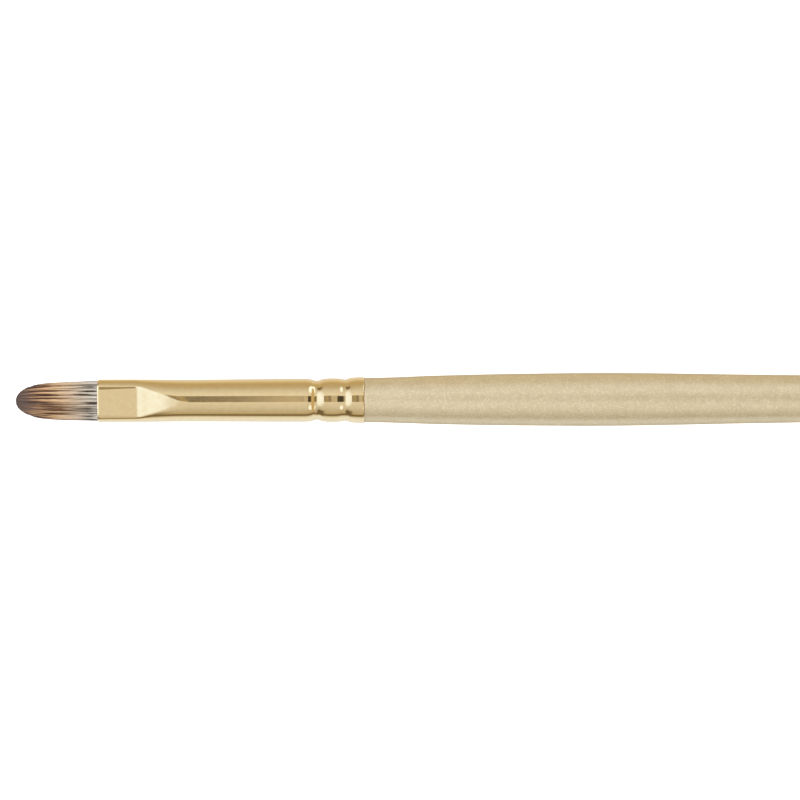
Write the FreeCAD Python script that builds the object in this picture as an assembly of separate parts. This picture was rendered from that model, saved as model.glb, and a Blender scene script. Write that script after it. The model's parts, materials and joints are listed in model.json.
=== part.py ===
import FreeCAD, Part
import math
import os
from FreeCAD import Vector

# A long-handled filbert brush for oils and acrylics, lying with a flat side of its hair up.
#
# +X runs along the brush from the hair to the tail, and +Z is up. The origin is under the
# middle of the brush, on the surface that the thickest part of the handle touches. Sizes are
# in millimetres. The shapes are made with the ferrule's mouth at x = 0 and the brush's axis
# on the X axis, and save() puts them where they belong. "Depth" is measured from the mouth
# into the ferrule, and "reach" from the mouth out along the hair.

# Driving dimensions
brush_length = 300.0
hair_reach = 12.85
hair_edge_thickness = 0.44
ferrule_length = 41.0
ferrule_wall = 0.2
mouth_width = 6.64
mouth_thickness = 3.0
mouth_oval_height = 4.2
tube_diameter = 6.43
cap_seat_diameter = 6.7
first_groove_diameter = 6.06
bead_diameter = 6.8
second_groove_diameter = 6.44
collar_diameter = 7.14
glue_film = 0.07
lacquer_coat = 0.12
belly_diameter = 8.17
tail_diameter = 3.9

# Where the ferrule changes shape, as depths
panel_end = 5.8
round_start = 14.0
flare_start = 19.4
cap_seat_start = 27.0
cap_seat_end = 31.7
first_groove = 33.65
bead = 36.1
second_groove = 38.0
collar = 40.4

# The facet behind each flat panel, as depths and heights above the axis
facet = [(8.0, 2.14), (9.5, 2.6), (11.4, 2.97), (round_start, 3.26)]

# How the ferrule's side rises out of a groove and falls into one, as fractions of the way
rise = [(0, 0), (0.33, 0.6), (0.53, 0.83), (0.755, 0.955)]
fall = [(0, 0), (0.35, 0.1), (0.58, 0.36)]

# What the ferrule holds, as depths. The resin fills the tube from round_start to flare_start.
knot_start = 15.6
knot_end = 18.4
tenon_start = 20.5
knot_radius = 2.35
thread_diameter = 0.36
thread_wraps = 6

# The hair bends at these reaches, and each joint has this much room
sway_pivot = 1.2
bend_pivots = (4.2, 7.2, 9.9)
joint_gap = 0.6

hair_width = mouth_width - 2 * ferrule_wall
hair_thickness = mouth_thickness - 2 * ferrule_wall
hair_oval_height = mouth_oval_height - 2 * ferrule_wall
handle_length = brush_length - hair_reach - ferrule_length
shoulder_radius = collar_diameter / 2 - ferrule_wall - glue_film + lacquer_coat
far = 20.0  # beyond every side of the brush, for cutting shapes
along = Vector(1, 0, 0)
centre = Vector(0, 0, 0)


def line(start, end):
    return Part.makeLine(Vector(start[0], 0, start[1]), Vector(end[0], 0, end[1]))


def smooth_curve(points, slopes):
    """A spline in the XZ plane through the points. A slope of None leaves that point free."""
    curve = Part.BSplineCurve()
    curve.interpolate(
        Points=[Vector(x, 0, z) for x, z in points],
        Tangents=[Vector(1, 0, slope or 0) for slope in slopes],
        TangentFlags=[slope is not None for slope in slopes],
    )
    return curve.toShape()


def turned(edges):
    """A solid turned about the brush's axis from its side, given in order along the axis."""
    first = edges[0].firstVertex().Point
    last = edges[-1].lastVertex().Point
    closing = [line((first.x, 0), (last.x, 0)), line((first.x, 0), (first.x, first.z))]
    if last.z > 1e-9:
        closing.append(line((last.x, last.z), (last.x, 0)))
    outline = Part.Wire(Part.__sortEdges__(edges + closing))
    return Part.Face(outline).revolve(centre, along, 360)


def pressed(edges):
    """The space between two dies that meet across the Y axis, from their upper side."""
    lower = [edge.mirror(centre, Vector(0, 0, 1)) for edge in edges]
    first = edges[0].firstVertex().Point
    last = edges[-1].lastVertex().Point
    ends = [line((point.x, point.z), (point.x, -point.z)) for point in (first, last)]
    outline = Part.Wire(Part.__sortEdges__(edges + lower + ends))
    outline.translate(Vector(0, -far / 2, 0))
    return Part.Face(outline).extrude(Vector(0, far, 0))


def between(shape, start, end):
    """The part of a shape whose x is between start and end."""
    return shape.common(Part.makeBox(end - start, far, far, Vector(start, -far / 2, -far / 2)))


def ellipse_wire(x, half_width, half_height):
    """An ellipse across the X axis, from a stretched circle."""
    circle = Part.makeCircle(1, centre, along)
    stretch = FreeCAD.Matrix()
    stretch.scale(1, half_width, half_height)
    ellipse = circle.transformGeometry(stretch)
    ellipse.translate(Vector(x, 0, 0))
    return Part.Wire(ellipse)


def handle_outline(inset):
    """The handle's side from the shoulder to the tail, moved towards the axis by inset."""
    start = ferrule_length
    tail_radius = tail_diameter / 2
    round_tail = start + handle_length - tail_radius
    stations = [
        (start, shoulder_radius),
        (start + 12, 3.77),
        (start + 24, 3.99),
        (start + 36, belly_diameter / 2),
        (start + 60, 3.75),
        (start + 100, 3.23),
        (start + 180, 2.35),
        (round_tail, tail_radius),
    ]
    slopes = [0.03, None, None, 0, None, None, None, 0]
    side = smooth_curve([(x, radius - inset) for x, radius in stations], slopes)
    end_radius = tail_radius - inset
    halfway = end_radius * math.sqrt(0.5)
    tail = Part.Arc(
        Vector(round_tail, 0, end_radius),
        Vector(round_tail + halfway, 0, halfway),
        Vector(round_tail + end_radius, 0, 0),
    )
    return [side, tail.toShape()]


def ferrule_outline(inset):
    """The side of the ferrule's round part, moved towards the axis by inset."""
    tube = tube_diameter / 2 - inset
    seat = cap_seat_diameter / 2 - inset
    rim = collar_diameter / 2 - inset
    crests = [
        (cap_seat_end, seat),
        (first_groove, first_groove_diameter / 2 - inset),
        (bead, bead_diameter / 2 - inset),
        (second_groove, second_groove_diameter / 2 - inset),
        (collar, rim),
    ]
    side = []
    slopes = []
    for (start, low), (end, high) in zip(crests, crests[1:]):
        shape = rise if high > low else fall
        side += [(start + (end - start) * run, low + (high - low) * climb) for run, climb in shape]
        slopes += [0] + [None] * (len(shape) - 1)
    return [
        line((round_start, tube), (flare_start, tube)),
        line((flare_start, tube), (cap_seat_start, seat)),
        line((cap_seat_start, seat), (cap_seat_end, seat)),
        smooth_curve(side + [(collar, rim)], slopes + [0]),
        line((collar, rim), (ferrule_length, rim)),
    ]


def flattened_end(inset):
    """The pressed end of the ferrule: an oval with a flat panel and a rising facet on each side."""
    half_width = mouth_width / 2 - inset
    half_height = mouth_oval_height / 2 - inset
    tube = tube_diameter / 2 - inset
    steps = 4
    ovals = [ellipse_wire(0, half_width, half_height)]
    for step in range(steps + 1):
        way = step / steps
        wide = half_width + (tube - half_width) * way
        high = half_height + (tube - half_height) * (1 - (1 - way) ** 2)
        ovals.append(ellipse_wire(panel_end + (round_start - panel_end) * way, wide, high))
    panel = mouth_thickness / 2 - inset
    die = [(panel_end, panel)] + [(depth, height - inset) for depth, height in facet]
    dies = pressed([line((0, panel), (panel_end, panel)), smooth_curve(die, [None] * len(die))])
    return Part.makeLoft(ovals, True, True).common(dies)


def ferrule_filled(inset):
    """The whole ferrule as a filled shape. With the wall as inset, this is its inside."""
    return flattened_end(inset).fuse(turned(ferrule_outline(inset)))


def make_ferrule():
    """The shell of the ferrule, open at its mouth and at its collar."""
    return ferrule_filled(0).cut(ferrule_filled(ferrule_wall))


def make_tenon():
    """The handle's front end, which the crimps hold in the ferrule."""
    return between(turned(ferrule_outline(ferrule_wall + glue_film)), tenon_start, ferrule_length)


def make_handle_wood():
    return make_tenon().fuse(turned(handle_outline(lacquer_coat))).removeSplitter()


def make_handle_lacquer():
    return turned(handle_outline(0)).cut(turned(handle_outline(lacquer_coat)))


def make_tenon_glue():
    inside = between(turned(ferrule_outline(ferrule_wall)), tenon_start, ferrule_length)
    return inside.cut(make_tenon())


def hair_half_width(reach):
    """Half the hair's width: a slow taper, then the round filbert end."""
    taper = hair_width / 2 - 0.022 * reach
    return taper * math.sqrt(1 - (reach / hair_reach) ** 5.2)


def hair_half_thickness(reach):
    """Half the hair's thickness, which thins to a fine edge at the tip."""
    edge = hair_edge_thickness / 2
    return edge + (hair_thickness / 2 - edge) * (1 - (reach / hair_reach) ** 1.7)


def make_hair():
    """All the hair outside the ferrule as one closed shape, pressed flat and thinned."""
    steps = 9
    last = 0.999
    reaches = [hair_reach * last * math.sin(math.pi / 2 * i / steps) for i in range(steps + 1)]
    oval = hair_oval_height / hair_thickness
    sections = [ellipse_wire(-r, hair_half_width(r), oval * hair_half_thickness(r)) for r in reaches]
    side = smooth_curve([(-r, hair_half_thickness(r)) for r in reversed(reaches)], [None] * len(reaches))
    return Part.makeLoft(sections, True).common(pressed([side]))


def make_knot():
    """The roots of the hair behind the flattened end, drawn in to a round knot."""
    tube = tube_diameter / 2 - ferrule_wall
    sides = [
        line((round_start, tube), (knot_start, knot_radius)),
        line((knot_start, knot_radius), (knot_end, knot_radius)),
    ]
    return turned(sides)


def make_hair_root(hair):
    """The fixed end of the hair, from its bound knot to just outside the mouth."""
    heel = between(hair, joint_gap / 2 - sway_pivot, 0)
    return flattened_end(ferrule_wall).fuse(make_knot()).fuse(heel).removeSplitter()


def make_binding_thread():
    """The thread wound side by side round the knot of the hair."""
    first = (knot_start + knot_end - (thread_wraps - 1) * thread_diameter) / 2
    ring = knot_radius + thread_diameter / 2
    places = [Vector(first + number * thread_diameter, 0, 0) for number in range(thread_wraps)]
    return Part.makeCompound([Part.makeTorus(ring, thread_diameter / 2, p, along) for p in places])


def make_epoxy_plug():
    """The resin cast round the knot. It is cut back round the whole band of thread."""
    tube = tube_diameter / 2 - ferrule_wall
    cast = Part.makeCylinder(tube, flare_start - round_start, Vector(round_start, 0, 0), along)
    band_length = thread_wraps * thread_diameter
    band_start = Vector((knot_start + knot_end - band_length) / 2, 0, 0)
    band = Part.makeCylinder(knot_radius + thread_diameter, band_length, band_start, along)
    return cast.cut(make_knot()).cut(band)


def make_hair_segments(hair):
    """The moving lengths of hair, each between two pivots with room to turn."""
    pivots = (sway_pivot,) + bend_pivots
    names = ("hair_lower", "hair_middle", "hair_upper", "hair_tip")
    ends = list(bend_pivots) + [hair_reach + joint_gap]
    half = joint_gap / 2
    return {
        name: between(hair, half - end, -half - start)
        for name, start, end in zip(names, pivots, ends)
    }


def save(name, shape):
    shape = shape.copy()
    shape.translate(Vector(hair_reach - brush_length / 2, 0, belly_diameter / 2))
    if not shape.isValid():
        raise ValueError(name + " is not a valid shape")
    shape.exportStep(os.path.join("parts", name + ".step"))
    print(f"{name}: {len(shape.Solids)} solid(s), {shape.Volume:.2f} mm3")


def main():
    os.makedirs("parts", exist_ok=True)
    hair = make_hair()
    save("handle_wood", make_handle_wood())
    save("handle_lacquer", make_handle_lacquer())
    save("ferrule", make_ferrule())
    save("tenon_glue", make_tenon_glue())
    save("hair_root", make_hair_root(hair))
    save("binding_thread", make_binding_thread())
    save("epoxy_plug", make_epoxy_plug())
    for name, segment in make_hair_segments(hair).items():
        save(name, segment)


main()
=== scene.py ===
import json
import math
import random

import bpy
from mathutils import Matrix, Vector


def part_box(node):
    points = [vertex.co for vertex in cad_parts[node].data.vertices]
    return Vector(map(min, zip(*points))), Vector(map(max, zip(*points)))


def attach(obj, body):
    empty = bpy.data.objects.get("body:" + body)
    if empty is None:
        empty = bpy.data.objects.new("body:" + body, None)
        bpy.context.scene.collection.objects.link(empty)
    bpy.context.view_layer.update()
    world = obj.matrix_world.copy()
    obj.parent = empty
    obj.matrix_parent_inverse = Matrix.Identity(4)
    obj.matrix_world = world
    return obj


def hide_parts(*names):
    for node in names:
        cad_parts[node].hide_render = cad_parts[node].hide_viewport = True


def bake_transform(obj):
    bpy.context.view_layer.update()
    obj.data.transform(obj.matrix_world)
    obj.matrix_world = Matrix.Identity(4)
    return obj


# A filbert paint brush round its CAD frame. Shapes are worked out in millimetres from the
# ferrule's mouth: "depth" runs from the mouth towards the tail, "reach" from the mouth out
# along the hair, so reach = -depth. place() turns such a point into the frame's metres.

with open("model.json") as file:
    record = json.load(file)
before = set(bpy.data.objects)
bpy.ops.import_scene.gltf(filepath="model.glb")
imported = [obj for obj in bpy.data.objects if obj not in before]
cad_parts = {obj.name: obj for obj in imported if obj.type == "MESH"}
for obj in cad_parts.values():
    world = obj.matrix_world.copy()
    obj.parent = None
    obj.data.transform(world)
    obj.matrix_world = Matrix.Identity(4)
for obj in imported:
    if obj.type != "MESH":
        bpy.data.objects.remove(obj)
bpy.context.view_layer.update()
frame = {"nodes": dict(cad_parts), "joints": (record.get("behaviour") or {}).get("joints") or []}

mm = 0.001
ferrule_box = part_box("ferrule")
handle_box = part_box("handle_lacquer")
mouth = ferrule_box[0].x / mm
axis_height = frame["joints"][0]["pos_m"][2] / mm
ferrule_length = ferrule_box[1].x / mm - mouth
brush_end = handle_box[1].x / mm - mouth
hair_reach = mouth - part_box("hair_tip")[0].x / mm
collar_radius = ferrule_box[1].y / mm
belly_radius = handle_box[1].y / mm

# The ferrule, as depths and half sizes. A rim is the length over which its edge is rounded, and
# a fold the width of the rounding along the edges of its flat panels.
wall = 0.2
mouth_rim = 0.42
collar_rim = 0.3
rim_steps = 12
mouth_fold = 0.3
facet_fold = 0.12
half_mouth = 3.32
half_oval = 2.1
half_panel = 1.5
tube_radius = 3.215
seat_radius = 3.35
panel_end = 5.8
round_start = 14.0
flare_start = round_start - 6
facet = [(panel_end, half_panel), (8.0, 2.14), (9.5, 2.6), (11.4, 2.97), (round_start, 3.26)]

# The crests and troughs of the crimps, and how far the metal has risen or fallen on the way
# from each to the next, both as shares
crests_and_troughs = [
    (31.7, seat_radius), (33.65, 3.03), (36.1, 3.4), (38.0, 3.22), (40.4, collar_radius),
]
rise = [(0, 0), (0.33, 0.6), (0.53, 0.83), (0.755, 0.955)]
fall = [(0, 0), (0.35, 0.1), (0.58, 0.36)]

# The handle, as distances behind the ferrule and radii. The shoulder is its rounded front edge,
# with how much smaller its radius is there.
coat = 0.12
shoulder = [(0, 0.05), (0.02, 0.02), (0.06, 0)]
tail_radius = 1.95
tail_rings = 16
handle_stations = [
    (0, 3.42), (12, 3.77), (24, 3.99), (36, belly_radius),
    (60, 3.75), (100, 3.23), (180, 2.35), (brush_end - ferrule_length - tail_radius, tail_radius),
]

# The hair, as half sizes at the mouth and half its thickness at the tip. It narrows by the taper
# for each millimetre. A higher bluntness makes its filbert end squarer, and a higher thinning
# keeps it thick for longer.
half_hair = half_mouth - wall
half_hair_height = half_panel - wall
half_hair_oval = half_oval - wall
half_edge = 0.22
taper = 0.022
bluntness = 5.2
thinning = 1.7

# The roots of the hair, packed in the tube and then bound to a round knot
packed_radius = tube_radius - 0.32
knot_depth = 18.4
knot_start = knot_depth - 2.8
knot_radius = 2.3

# The filaments, whose middles stay inside the outline by the margin. Each leans in by a share of
# what the outline narrows by.
filament_radius = 0.064
point_radius = 0.012
point_length = 4.5
outline_margin = 0.07
outermost = 0.985
column_spacing = 0.128
row_spacing = column_spacing * 0.87
leaning = 0.5
free_step = 0.45
root_step = 2.6
wander_size = 0.03

# The ridges of hair on each face and the grooves between them. A groove takes in this share of
# half the hair's width, parts the hairs by a share of that, and lowers them by a share of their
# height.
ridges = 13
groove_reach = 1.1 / ridges
groove_parting = 0.55
groove_depth = 0.34

camera_tilt = math.radians(9)


def place(depth, y, z):
    return Vector((mouth + depth, y, axis_height + z)) * mm


def blend_between(a, b, amount):
    return a + (b - a) * amount


def clamp(value, low=0.0, high=1.0):
    return max(low, min(high, value))


def ease(value, start, end):
    """0 before start, 1 after end, and smooth between them."""
    t = clamp((value - start) / (end - start))
    return t * t * (3 - 2 * t)


def soft_min(a, b, width):
    """The lesser of a and b, with the corner between them rounded."""
    overlap = max(width - abs(a - b), 0) / width
    return min(a, b) - overlap * overlap * width / 4


def curve_through(points, x):
    """A smooth curve through the points, level at its ends and where they turn."""
    def slope(i):
        if i == 0 or i == len(points) - 1:
            return 0.0
        before = (points[i][1] - points[i - 1][1]) / (points[i][0] - points[i - 1][0])
        after = (points[i + 1][1] - points[i][1]) / (points[i + 1][0] - points[i][0])
        if before * after <= 0:
            return 0.0
        return 2 * before * after / (before + after)

    i = 0
    while i < len(points) - 2 and x > points[i + 1][0]:
        i += 1
    (x0, y0), (x1, y1) = points[i], points[i + 1]
    span = x1 - x0
    t = clamp((x - x0) / span)
    return (
        y0 * (1 + 2 * t) * (1 - t) ** 2
        + slope(i) * span * t * (1 - t) ** 2
        + y1 * t * t * (3 - 2 * t)
        - slope(i + 1) * span * t * t * (1 - t)
    )


def steps(start, end, size):
    """Even steps of about that size from start up to, but not including, end."""
    count = max(1, round((end - start) / size))
    return [start + (end - start) * i / count for i in range(count)]


# Node graphs

class Graph:
    """Adds linked nodes to a material's or world's node tree."""

    def __init__(self, tree):
        self.tree = tree
        tree.nodes.clear()

    def add(self, kind, inputs=None, **settings):
        node = self.tree.nodes.new("ShaderNode" + kind)
        for name, value in settings.items():
            setattr(node, name, value)
        for socket, value in (inputs or {}).items():
            self.feed(node.inputs[socket], value)
        return node

    def feed(self, socket, value):
        if isinstance(value, bpy.types.NodeSocket):
            self.tree.links.new(value, socket)
        else:
            socket.default_value = value

    def maths(self, operation, *values):
        node = self.add("Math", operation=operation)
        for socket, value in zip(node.inputs, values):
            self.feed(socket, value)
        return node.outputs[0]

    def mapped(self, value, start, end, low=0.0, high=1.0):
        inputs = {0: value, 1: start, 2: end, 3: low, 4: high}
        return self.add("MapRange", inputs, interpolation_type="SMOOTHSTEP").outputs[0]

    def mix(self, amount, first, second):
        node = self.add("Mix", data_type="RGBA")
        for socket, value in ((0, amount), (6, first), (7, second)):
            self.feed(node.inputs[socket], value)
        return node.outputs[2]

    def ramp(self, value, stops):
        node = self.add("ValToRGB", {0: value})
        elements = node.color_ramp.elements
        while len(elements) < len(stops):
            elements.new(0.5)
        for element, (position, tint) in zip(elements, stops):
            element.position = position
            element.color = tint
        return node.outputs[0]

    def position(self, stretch=(1, 1, 1)):
        """The place on the piece in millimetres, squeezed or stretched along each axis."""
        where = self.add("TexCoord").outputs["Object"]
        scale = [1000 * s for s in stretch]
        return self.add("VectorMath", {0: where, 1: scale}, operation="MULTIPLY").outputs[0]

    def noise(self, where, scale, detail=2.0, roughness=0.5):
        inputs = {"Vector": where, "Scale": scale, "Detail": detail, "Roughness": roughness}
        return self.add("TexNoise", inputs).outputs[0]

    def cells(self, where, scale):
        """A random value for each cell of a fine pattern."""
        cell_colour = self.add("TexVoronoi", {"Vector": where, "Scale": scale}).outputs["Color"]
        return self.add("SeparateColor", {0: cell_colour}).outputs[0]

    def bump(self, height, strength, distance):
        inputs = {"Height": height, "Strength": strength, "Distance": distance}
        return self.add("Bump", inputs).outputs[0]

    def surface(self, shader):
        self.add("OutputMaterial", {"Surface": shader.outputs[0]})


def colour(red, green, blue):
    """A colour given as it looks on screen, from 0 to 255, for a shader."""
    def linear(value):
        value /= 255
        return value / 12.92 if value <= 0.04045 else ((value + 0.055) / 1.055) ** 2.4
    return (linear(red), linear(green), linear(blue), 1)


def new_material(name):
    material = bpy.data.materials.new(name)
    material.use_nodes = True
    return material, Graph(material.node_tree)


def gold_material():
    """Bright plated metal with faint drawing lines, haze and specks."""
    material, graph = new_material("ferrule_gold")
    where = graph.position()
    lines = graph.noise(graph.position((0.12, 1, 1)), 9, 3, 0.6)
    haze = graph.noise(where, 1.3, 4, 0.55)
    specks = graph.cells(where, 9)
    tint = graph.mix(graph.mapped(haze, 0.3, 0.7), colour(233, 207, 157), colour(236, 212, 164))
    tint = graph.mix(graph.mapped(specks, 0.9, 1.0, 0, 0.25), tint, colour(214, 182, 124))
    roughness = graph.maths("MULTIPLY_ADD", haze, 0.05, 0.045)
    roughness = graph.maths("MULTIPLY_ADD", lines, 0.04, roughness)
    normal = graph.bump(graph.maths("MULTIPLY_ADD", specks, 0.3, lines), 0.04, 0.00002)
    shader = graph.add("BsdfPrincipled", {
        "Base Color": tint, "Metallic": 1.0, "Roughness": roughness, "Normal": normal,
    })
    graph.surface(shader)
    return material


def pearl_material():
    """Champagne lacquer with fine mica flakes under a clear coat."""
    material, graph = new_material("pearl_lacquer")
    where = graph.position()
    flakes = graph.cells(where, 5.5)
    fine_flakes = graph.cells(where, 11)
    clouds = graph.noise(where, 0.5, 3, 0.6)
    tint = graph.mix(graph.mapped(clouds, 0.3, 0.7), colour(219, 202, 166), colour(225, 208, 173))
    tint = graph.mix(graph.mapped(flakes, 0.55, 1.0, 0, 0.6), tint, colour(246, 231, 198))
    tint = graph.mix(graph.mapped(fine_flakes, 0.7, 1.0, 0, 0.2), tint, colour(208, 190, 150))
    roughness = graph.maths("MULTIPLY_ADD", flakes, 0.1, 0.36)
    normal = graph.bump(graph.maths("ADD", flakes, fine_flakes), 0.07, 0.00002)
    shader = graph.add("BsdfPrincipled", {
        "Base Color": tint, "Metallic": 0.7, "Roughness": roughness, "Normal": normal,
        "Specular IOR Level": 0.3, "Specular Tint": colour(176, 152, 104), "Coat Weight": 0.08,
        "Coat Roughness": 0.18,
    })
    graph.surface(shader)
    return material


def hair_material():
    """Mottled synthetic filament: beige at the ferrule, brown along the belly, taupe at the tip, with
    painted shade darkening the hairs deep in grooves and inside the bundle.
    """
    material, graph = new_material("hair")
    reach = graph.add("Attribute", attribute_name="reach").outputs["Fac"]
    tone = graph.add("Attribute", attribute_name="tone").outputs["Fac"]
    # Painted shade: highest for hairs deep in grooves and inside the bundle, where shade falls
    painted_shade = graph.add("Attribute", attribute_name="painted_shade").outputs["Fac"]
    drift = 1.6
    whole = hair_reach + drift
    along = graph.maths("MULTIPLY_ADD", tone, drift, reach)
    along = graph.maths("DIVIDE", along, whole)

    def from_ferrule_to_tip(*stops):
        """A ramp with its stops at reaches, which each hair's tone moves by up to half the drift."""
        return graph.ramp(along, [((at + drift / 2) / whole, tint) for at, tint in stops])

    light = from_ferrule_to_tip(
        (0, colour(226, 216, 199)), (1.2, colour(222, 210, 191)), (3.5, colour(222, 196, 166)),
        (5.8, colour(227, 193, 147)), (8.2, colour(234, 184, 132)), (10.5, colour(142, 108, 86)),
        (12, colour(112, 94, 82)),
    )
    dark = from_ferrule_to_tip(
        (0, colour(74, 58, 42)), (1.2, colour(74, 60, 44)), (3.5, colour(86, 60, 36)),
        (5.8, colour(108, 66, 28)), (8.2, colour(66, 30, 6)), (10.5, colour(56, 36, 26)),
        (12, colour(84, 68, 58)),
    )
    streaks = graph.noise(graph.position((0.15, 1, 1)), 6, 3, 0.6)
    # The hair's random tone and streaks, plus painted shade in the grooves and inside the bundle,
    # choose between its light and dark colours
    shade = graph.maths("MULTIPLY_ADD", tone, 0.55, graph.maths("MULTIPLY", painted_shade, 0.6))
    shade = graph.maths("MULTIPLY_ADD", streaks, 0.5, shade)
    tint = graph.mix(graph.mapped(shade, 0.2, 1.1), light, dark)
    roughness = graph.maths("MULTIPLY_ADD", streaks, 0.2, 0.26)
    shader = graph.add("BsdfPrincipled", {
        "Base Color": tint, "Roughness": roughness, "Specular IOR Level": 0.6,
        "Sheen Weight": 0.1, "Sheen Roughness": 0.4,
    })
    graph.surface(shader)
    return material


def wood_material():
    """Birch: pale, with fine grain along the handle."""
    material, graph = new_material("handle_wood")
    grain = graph.noise(graph.position((0.05, 1, 1)), 3, 5, 0.65)
    pores = graph.noise(graph.position((0.15, 1, 1)), 14, 2)
    tint = graph.mix(graph.mapped(grain, 0.3, 0.7), colour(206, 170, 122), colour(226, 196, 150))
    tint = graph.mix(graph.mapped(pores, 0.6, 0.75, 0, 0.4), tint, colour(164, 124, 80))
    normal = graph.bump(grain, 0.2, 0.00005)
    shader = graph.add("BsdfPrincipled", {"Base Color": tint, "Roughness": 0.62, "Normal": normal})
    graph.surface(shader)
    return material


def resin_material(name, pale, deep, roughness):
    """Cast glue or resin: cloudy, with small bubbles."""
    material, graph = new_material(name)
    where = graph.position()
    clouds = graph.noise(where, 1.2, 3)
    bubbles = graph.cells(where, 4)
    tint = graph.mix(graph.mapped(clouds, 0.3, 0.7), pale, deep)
    tint = graph.mix(graph.mapped(bubbles, 0.92, 1.0, 0, 0.5), tint, pale)
    normal = graph.bump(bubbles, 0.15, 0.00003)
    shader = graph.add("BsdfPrincipled", {
        "Base Color": tint, "Roughness": roughness, "Normal": normal, "Coat Weight": 0.3,
    })
    graph.surface(shader)
    return material


def thread_material():
    """Waxed binding thread, twisted from fine fibres."""
    material, graph = new_material("thread")
    fibres = graph.noise(graph.position((3, 0.6, 0.6)), 6, 3)
    tint = graph.mix(graph.mapped(fibres, 0.3, 0.7), colour(214, 206, 190), colour(240, 234, 222))
    normal = graph.bump(fibres, 0.4, 0.00004)
    shader = graph.add("BsdfPrincipled", {"Base Color": tint, "Roughness": 0.7, "Normal": normal})
    graph.surface(shader)
    return material


def floor_material():
    """Pale studio paper with a very faint tooth."""
    material, graph = new_material("studio_paper")
    tooth = graph.noise(graph.position(), 0.6, 3)
    tint = graph.mix(tooth, colour(246, 246, 245), colour(252, 252, 251))
    shader = graph.add("BsdfPrincipled", {
        "Base Color": tint, "Roughness": 0.9,
        "Emission Color": tint, "Emission Strength": 0.7,
    })
    graph.surface(shader)
    return material


# Meshes

def new_piece(name, vertices, faces, material):
    """A piece that is smooth except for the five-sided ends of the filaments."""
    mesh = bpy.data.meshes.new(name)
    mesh.from_pydata(vertices, [], faces)
    mesh.polygons.foreach_set("use_smooth", [len(face) < 5 for face in faces])
    mesh.materials.append(material)
    piece = bpy.data.objects.new(name, mesh)
    bpy.context.scene.collection.objects.link(piece)
    return piece


def skin(ring_count, points, closed):
    """Quads between neighbouring rings, and from the last ring to the first when closed."""
    faces = []
    for ring in range(ring_count if closed else ring_count - 1):
        a = ring * points
        b = (ring + 1) % ring_count * points
        for i in range(points):
            j = (i + 1) % points
            faces.append((a + i, a + j, b + j, b + i))
    return faces


def rounded_rim(length):
    """The half-round edge of a sheet, as distances from its end and insets from its outside."""
    turns = [math.pi * i / rim_steps for i in range(rim_steps + 1)]
    return [(length * (1 - math.sin(t)), wall / 2 * (1 - math.cos(t))) for t in turns]


def crimp_profile():
    """The grooves, bead and collar as depths and radii, steepest where the roller pressed."""
    profile = []
    for (start, radius), (end, next_radius) in zip(crests_and_troughs, crests_and_troughs[1:]):
        shape = rise if next_radius > radius else fall
        for run, change in shape:
            depth = blend_between(start, end, run)
            profile.append((depth, blend_between(radius, next_radius, change)))
    return profile + [crests_and_troughs[-1]]


crimps = crimp_profile()
crimps_start = crimps[0][0]


def tube_profile(depth):
    """The radius of the ferrule's round part, which flares a little towards the crimps."""
    if depth <= crimps_start:
        return blend_between(tube_radius, seat_radius, ease(depth, flare_start, crimps_start + 2))
    return curve_through(crimps, depth)


def ferrule_section(depth, inset, points):
    """The ferrule's outline across its axis: an oval, flattened above and below by the dies."""
    progress = clamp((depth - panel_end) / (round_start - panel_end))
    round_radius = tube_profile(depth)
    half_width = blend_between(half_mouth, round_radius, progress) - inset
    half_height = blend_between(half_oval, round_radius, 1 - (1 - progress) ** 2) - inset
    flat = curve_through(facet, max(depth, panel_end)) - inset
    if depth >= round_start:
        flat = 2 * round_radius
    fold = blend_between(mouth_fold, facet_fold, ease(depth, 0, panel_end))
    section = []
    for i in range(points):
        angle = 2 * math.pi * i / points
        height = soft_min(abs(half_height * math.sin(angle)), flat, fold)
        section.append((half_width * math.cos(angle), math.copysign(height, math.sin(angle))))
    return section


def make_ferrule(material):
    """One closed skin: the outside from mouth to collar, both rims, and the inside."""
    points = 288
    before_bend = panel_end - 0.3
    after_bend = panel_end + 0.4
    after_facet = round_start + 0.4
    outside = (
        steps(mouth_rim + 0.1, before_bend, 0.6)
        + steps(before_bend, after_bend, 0.07)
        + steps(after_bend, after_facet, 0.2)
        + steps(after_facet, crimps_start, 1)
        + steps(crimps_start, crimps[-1][0], 0.08)
    )
    inside = [depth for depth in outside if depth < panel_end or depth > crimps_start][::3]
    path = list(reversed(rounded_rim(mouth_rim)))
    path += [(depth, 0) for depth in outside]
    path += [(ferrule_length - distance, inset) for distance, inset in rounded_rim(collar_rim)]
    path += [(depth, wall) for depth in reversed(inside)]
    vertices = []
    for depth, inset in path:
        section = ferrule_section(depth, inset, points)
        vertices.extend(place(depth, y, z) for y, z in section)
    faces = skin(len(path), points, True)
    piece = new_piece("ferrule_shell", vertices, faces, material)
    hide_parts("ferrule")
    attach(piece, "handle_and_ferrule")


def handle_path(inset):
    """The handle's side from its shoulder to the middle of its round tail."""
    front_radius = handle_stations[0][1] - inset
    path = [(ferrule_length + back, front_radius - drop) for back, drop in shoulder]
    tail_start = handle_stations[-1][0]
    for distance in steps(0.3, tail_start, 1.5):
        path.append((ferrule_length + distance, curve_through(handle_stations, distance) - inset))
    radius = tail_radius - inset
    for i in range(tail_rings):
        turn = math.pi / 2 * i / tail_rings
        depth = ferrule_length + tail_start + radius * math.sin(turn)
        path.append((depth, radius * math.cos(turn)))
    return path


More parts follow.
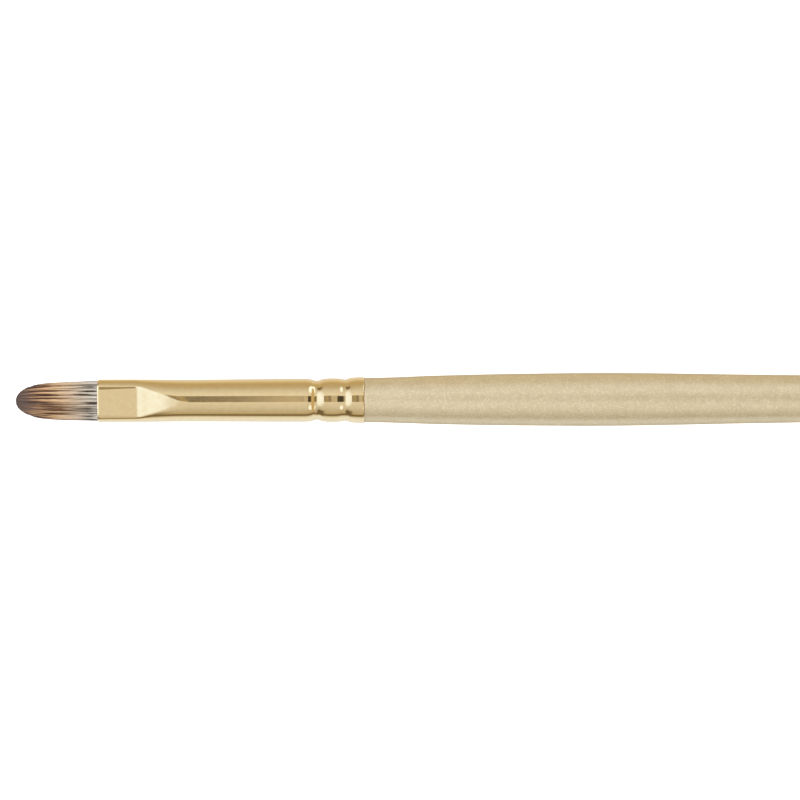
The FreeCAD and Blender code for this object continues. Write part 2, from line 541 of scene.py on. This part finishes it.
def make_handle(material):
    """The coat of lacquer as a closed skin, a little rounded where it meets the ferrule."""
    points = 96
    outer = handle_path(0)
    inner = list(reversed(handle_path(coat)))
    rings = outer + inner
    vertices = []
    for depth, radius in rings:
        for i in range(points):
            angle = 2 * math.pi * i / points
            vertices.append(place(depth, radius * math.cos(angle), radius * math.sin(angle)))
    outer_end = (len(outer) - 1) * points
    inner_start = len(outer) * points
    faces = [
        face for face in skin(len(rings), points, True)
        if not outer_end <= face[0] < inner_start
    ]
    for start, depth, flip in (
        (outer_end, brush_end, False),
        (inner_start, brush_end - coat, True),
    ):
        pole = len(vertices)
        vertices.append(place(depth, 0, 0))
        for i in range(points):
            j = (i + 1) % points
            face = (start + i, start + j, pole)
            faces.append(face[::-1] if flip else face)
    piece = new_piece("handle_coat", vertices, faces, material)
    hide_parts("handle_lacquer")
    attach(piece, "handle_and_ferrule")


# Hair

def tapered_half_width(reach):
    """Half the hair's width by its slow taper alone."""
    return half_hair - taper * reach


def hair_half_width(reach):
    """Half the hair's width: the taper and then the round filbert end."""
    return tapered_half_width(reach) * math.sqrt(max(0, 1 - (reach / hair_reach) ** bluntness))


def hair_half_thickness(reach):
    return half_edge + (half_hair_height - half_edge) * (1 - (reach / hair_reach) ** thinning)


class Groove:
    """A short furrow where neighbouring hairs have drawn apart, on one face of the hair."""

    def __init__(self, across, middle, length, depth):
        self.across = across
        self.middle = middle
        self.length = length
        self.depth = depth

    def effect(self, across, reach):
        """How far it moves a hair sideways, and how deep in the groove that hair is."""
        aside = across - self.across
        inside = 1 - abs(aside) / groove_reach
        if inside <= 0:
            return 0, 0
        strength = self.depth * math.exp(-((reach - self.middle) / self.length) ** 2)
        parting = groove_parting * inside * groove_reach * strength
        return math.copysign(parting, aside), inside * strength


def make_grooves():
    """Long grooves along the belly of the hair and short ones at the ferrule, on each face."""
    grooves = {}
    for face in (False, True):
        lines = [-1 + 2 * (i + 0.5 + random.uniform(-0.3, 0.3)) / ridges for i in range(ridges)]
        grooves[face] = [
            Groove(
                across=line,
                middle=random.uniform(5.6, 9.6),
                length=random.uniform(1.8, 3.6),
                depth=random.uniform(0.6, 1),
            )
            for line in lines
        ]
        grooves[face] += [
            Groove(
                across=line + random.uniform(-0.08, 0.08),
                middle=random.uniform(-0.6, 2.6),
                length=random.uniform(1, 2.6),
                depth=random.uniform(0.4, 0.9),
            )
            for line in lines
        ]
    return grooves


class Filament:
    """One hair. across and up place it in the bundle, from -1 to 1."""

    def __init__(self, across, up, grooves):
        self.across = across
        self.up = up
        self.grooves = [g for g in grooves[up > 0] if abs(across - g.across) < groove_reach]
        self.tone = random.random()
        self.wander = [random.uniform(0.1, 0.5) for _ in range(2)]
        self.phase = [random.uniform(0, 2 * math.pi) for _ in range(2)]
        # How wide the outline is where this hair meets it, as a share of the tapered width
        side = abs(across)
        narrowed = side * (1 - leaning) / (1 - leaning * side)
        outline_reach = (hair_reach - 0.1) * (1 - narrowed ** 2) ** (1 / bluntness)
        self.reach = outline_reach - random.uniform(0, 0.35)

    def radius(self, reach):
        """The hair's own radius, which runs out to a point."""
        left = clamp((self.reach - reach) / point_length)
        return blend_between(point_radius, filament_radius, left ** 0.7)

    def groove_effect(self, reach):
        """The sideways move and the depth that the grooves give this hair."""
        effects = [groove.effect(self.across, reach) for groove in self.grooves]
        move = sum(move for move, _ in effects) * self.up ** 2
        return move, min(1, sum(depth for _, depth in effects))

    def shade(self, reach):
        """Painted shade for the hair's colour: 1 deep in a groove or inside the bundle, where shade
        falls, and 0 on a ridge.
        """
        return max(self.groove_effect(reach)[1], ease(1 - abs(self.up), 0.1, 0.5))

    def centre(self, reach):
        """The middle of the hair at that reach, as y and z."""
        if reach < 0:
            return self.root_centre(-reach)
        move, depth = self.groove_effect(reach)
        leaned = blend_between(tapered_half_width(reach), hair_half_width(reach), leaning)
        width = leaned - outline_margin
        height = hair_half_thickness(reach) - outline_margin
        opening = ease(reach, 0, 0.8)
        y = (self.across + move * opening) * width
        z = self.up * self.rounding() * height * (1 - groove_depth * depth * abs(self.up) * opening)
        sway = ease(reach, 0, 3) * wander_size
        y += sway * math.sin(self.wander[0] * reach + self.phase[0])
        z += sway * math.sin(self.wander[1] * reach + self.phase[1])
        return y, z

    def rounding(self):
        """How much lower the hair's face is here than at its middle, from its oval outline."""
        return min(1, half_hair_oval / half_hair_height * math.sqrt(1 - self.across ** 2))

    def root_centre(self, depth):
        """The same inside the ferrule, where the flat bundle is drawn in to a round knot."""
        to_round = ease(depth, panel_end, round_start)
        to_knot = ease(depth, round_start, knot_start)

        def drawn_in(half_size):
            packed = blend_between(half_size - outline_margin, packed_radius, to_round)
            return blend_between(packed, knot_radius, to_knot)

        circle = math.sqrt(1 - self.across ** 2)
        outline = blend_between(self.rounding(), circle, to_round)
        return self.across * drawn_in(half_hair), self.up * drawn_in(half_hair_height) * outline


def make_filaments():
    """Hairs packed evenly over the mouth in staggered rows."""
    random.seed(12)
    grooves = make_grooves()
    rows = round(2 * half_hair_height / row_spacing)
    columns = round(2 * half_hair / column_spacing)
    filaments = []
    for row in range(rows + 1):
        for column in range(columns + 1):
            across = -1 + (2 * column + row % 2 + random.uniform(-0.25, 0.25)) / columns
            up = clamp(-1 + 2 * row / rows + random.uniform(-0.04, 0.04), -1, 1)
            if abs(across) < outermost:
                filaments.append(Filament(across, up, grooves))
    return filaments


def filament_tube(filament, start, end, vertices, faces, values):
    """Adds the stretch of one hair between two reaches, as a thin closed tube."""
    sides = 5
    shortest = 0.05
    last = min(end, filament.reach)
    if last - start < shortest:
        return
    step = free_step if start >= 0 else root_step
    count = max(2, math.ceil((last - start) / step))
    first = len(vertices)
    for ring in range(count + 1):
        reach = start + (last - start) * ring / count
        y, z = filament.centre(reach)
        radius = filament.radius(reach)
        for side in range(sides):
            angle = 2 * math.pi * side / sides + filament.phase[0]
            vertices.append(place(-reach, y + radius * math.cos(angle), z + radius * math.sin(angle)))
            # Each ring carries its reach, the hair's tone and its painted shade
            values.append((reach, filament.tone, filament.shade(reach)))
    for a, b, c, d in skin(count + 1, sides, False):
        faces.append((first + a, first + b, first + c, first + d))
    for ring, order in ((0, reversed(range(sides))), (count, range(sides))):
        cap = len(vertices)
        for side in order:
            vertices.append(vertices[first + ring * sides + side])
            values.append(values[first + ring * sides + side])
        faces.append(tuple(range(cap, cap + sides)))


def make_hair_piece(name, filaments, start, end, material):
    """The stretch of every hair between two reaches, as one piece."""
    vertices, faces, values = [], [], []
    for filament in filaments:
        filament_tube(filament, start, end, vertices, faces, values)
    piece = new_piece(name, vertices, faces, material)
    # The third value is painted shade, highest deep in grooves and inside the bundle
    for number, attribute_name in enumerate(("reach", "tone", "painted_shade")):
        attribute = piece.data.attributes.new(attribute_name, "FLOAT", "POINT")
        attribute.data.foreach_set("value", [value[number] for value in values])
    return piece


def make_hair(material):
    """The hair in lengths, which meet at shared rings."""
    filaments = make_filaments()
    roots = make_hair_piece("hair_roots", filaments, -knot_depth, 0, material)
    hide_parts("hair_root")
    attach(roots, "handle_and_ferrule")
    # Each length's name, the bodies it bends between, where it starts and ends, where its bend
    # is complete, and the CAD node it replaces
    lengths = [
        ("hair_heel", "handle_and_ferrule", "lower_hair", 0, 2.7, 2.4, "hair_root"),
        ("hair_belly", "lower_hair", "middle_hair", 2.7, 5.7, 5.7, "hair_lower"),
        ("hair_shoulder", "middle_hair", "upper_hair", 5.7, 8.7, 8.7, "hair_middle"),
        ("hair_point", "upper_hair", "tip_hair", 8.7, hair_reach, 11.1, "hair_upper"),
    ]
    for name, before, after, start, end, turned, node in lengths:
        piece = make_hair_piece(name, filaments, start, end, material)
        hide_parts(node)
        if name == "hair_point":
            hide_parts("hair_tip")
        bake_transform(piece)


# The studio

def make_floor():
    """A wide sheet of paper just below the brush, with room for the hair to bend."""
    half = 2500
    gap = 2.5
    corners = [(-half, -half), (half, -half), (half, half), (-half, half)]
    vertices = [place(x, y, -gap - axis_height) for x, y in corners]
    mesh = bpy.data.meshes.new("studio_floor")
    mesh.from_pydata(vertices, [], [(0, 1, 2, 3)])
    mesh.materials.append(floor_material())
    floor = bpy.data.objects.new("studio_floor", mesh)
    bpy.context.scene.collection.objects.link(floor)
    floor.visible_glossy = False
    floor.visible_diffuse = False


def make_world():
    """Soft boxes and the dark gaps between them, by direction.

    Roll is the angle about the brush's axis, from the camera's side towards +Y, and pitch is
    the angle towards the tail, both in degrees. A light is a level and its warmth, from blue
    below 0 to gold above it.
    """
    world = bpy.data.worlds.new("studio")
    world.use_nodes = True
    bpy.context.scene.world = world
    graph = Graph(world.node_tree)
    direction = graph.add("TexCoord").outputs["Generated"]

    def along(x, y, z):
        inputs = {0: direction, 1: (x, y, z)}
        return graph.add("VectorMath", inputs, operation="DOT_PRODUCT").outputs["Value"]

    to_camera = along(0, math.sin(camera_tilt), math.cos(camera_tilt))
    to_side = along(0, math.cos(camera_tilt), -math.sin(camera_tilt))
    roll = graph.maths("DEGREES", graph.maths("ARCTAN2", to_side, to_camera))
    pitch = graph.maths("DEGREES", graph.maths("ARCSINE", along(1, 0, 0)))
    # Roll, level and warmth of the walls, all the way round the brush
    walls = [
        (-180, 0.9, 0), (-130, 0.98, -0.8), (-112, 1.0, -1), (-99, 0.9, 0), (-93, 0.5, 0.5),
        (-87, 0.16, 1.6), (-82, 0.25, 1.6), (-75, 0.6, 1), (-66, 0.64, 0.5), (-53, 0.68, 0.2),
        (-38, 0.77, 0), (-20, 0.84, 0), (-6, 0.93, 0), (22, 1.0, 0), (37, 0.9, 0), (50, 0.8, -0.1),
        (61, 0.72, 0.3), (75, 0.62, 0.8), (95, 0.6, 1.3), (108, 0.68, 1.3), (127, 0.88, 0.5),
        (180, 0.9, 0),
    ]

    def glow(level, warmth):
        return (level, level * (1 - 0.12 * warmth), level * (1 - 0.35 * warmth), 1)

    stops = [((angle + 180) / 360, glow(level, warmth)) for angle, level, warmth in walls]
    light = graph.ramp(graph.maths("MULTIPLY_ADD", roll, 1 / 360, 0.5), stops)

    def card(level, rolls, pitches, soft, under):
        """A card over part of the sky. soft is half the width of its edges in roll and pitch."""
        mask = 1.0
        for value, (low, high), edge in zip((roll, pitch), (rolls, pitches), soft):
            mask = graph.maths("MULTIPLY", mask, graph.mapped(value, low - edge, low + edge))
            mask = graph.maths("MULTIPLY", mask, graph.mapped(value, high - edge, high + edge, 1, 0))
        return graph.mix(mask, under, glow(*level))

    def soft_box(level, centre, radii, inner, under):
        """An oval soft box round a roll and pitch, which fades from its inner part outwards."""
        outer = 1.15
        squares = []
        for value, middle, radius in zip((roll, pitch), centre, radii):
            offset = graph.maths("MULTIPLY_ADD", value, 1 / radius, -middle / radius)
            squares.append(graph.maths("MULTIPLY", offset, offset))
        distance = graph.maths("ADD", *squares)
        return graph.mix(graph.mapped(distance, inner, outer, 1, 0), under, glow(*level))

    # Dark gaps on either side, towards the hair
    light = card((0.2, 1.4), (-98, -60), (-45, -15), (9, 6), light)
    light = card((0.25, 1.4), (66, 84), (-45, -20), (3, 3), light)

    # Soft boxes: towards the hair, on either side towards the tail, and straight ahead of the mouth
    light = soft_box((1.17, -1.4), (10, -38), (52, 25), 0.25, light)
    light = soft_box((1.3, -1.4), (66, 24), (24, 10), 0.8, light)
    light = soft_box((1.25, -1.2), (-42, 24), (14, 10), 0.8, light)
    light = soft_box((2.6, -1), (10, -84), (80, 36), 0.7, light)

    # The stripe along the top of the tube, and its darker parts towards the hair
    light = card((0.66, 0.6), (-9, 24), (-12, 9), (1, 2), light)
    light = card((0.12, 0.3), (-9, 24), (-6.2, -3.95), (1, 0.95), light)
    light = card((0.48, 1.2), (-9, 24), (-14, -5.7), (1, 0.6), light)
    light = card((0.33, 1.2), (-9, 24), (-18, -13), (1, 1.5), light)

    # The stripe's dark end towards the tail, and the tan wall beyond it
    light = card((0.08, 1), (-10, 24), (9, 30), (1, 1), light)
    light = card((0.68, 1.5), (-70, 75), (26, 60), (8, 2), light)

    # The camera itself sees plain white all round
    seen_directly = graph.add("LightPath").outputs["Is Camera Ray"]
    light = graph.mix(seen_directly, light, (1, 1, 1, 1))
    background = graph.add("Background", {"Color": light, "Strength": 1.0})
    graph.add("OutputWorld", {"Surface": background.outputs[0]})


def make_light(name, energy, size, location, target):
    """A square light that shows neither to the camera nor in reflections."""
    lamp = bpy.data.lights.new(name, "AREA")
    lamp.energy = energy
    lamp.shape = "SQUARE"
    lamp.size = size
    light = bpy.data.objects.new(name, lamp)
    light.location = location
    light.rotation_euler = (target - light.location).to_track_quat("-Z", "Y").to_euler()
    light.visible_camera = False
    light.visible_glossy = False
    bpy.context.scene.collection.objects.link(light)


def make_camera():
    """Straight down on the hair and ferrule, leaning towards +Y, with a long lens."""
    view_width = 123.1 * mm
    distance = 0.45
    camera_turn = math.radians(-0.17)
    target = place(46.45, 0, 0)
    lens = bpy.data.cameras.new("camera")
    lens.sensor_width = 36
    lens.lens = lens.sensor_width * distance / view_width
    camera = bpy.data.objects.new("camera", lens)
    camera.rotation_euler = (-camera_tilt, 0, camera_turn)
    camera.location = target + camera.rotation_euler.to_matrix() @ Vector((0, 0, distance))
    bpy.context.scene.collection.objects.link(camera)
    bpy.context.scene.camera = camera


def paint_node(name, material):
    """Gives a CAD node that stays its material."""
    mesh = frame["nodes"][name].data
    mesh.materials.clear()
    mesh.materials.append(material)


bpy.context.scene.view_settings.view_transform = "Standard"
make_camera()
make_world()
make_floor()
head = place(0, 0, 0)
make_light("key", energy=9, size=1.2, location=head + Vector((-0.4, 0.15, 1.2)), target=head)
make_ferrule(gold_material())
make_handle(pearl_material())
make_hair(hair_material())
paint_node("handle_wood", wood_material())
paint_node("tenon_glue", resin_material("glue", colour(236, 216, 170), colour(214, 184, 128), 0.35))
paint_node("epoxy_plug", resin_material("epoxy", colour(226, 190, 122), colour(196, 150, 84), 0.2))
paint_node("binding_thread", thread_material())
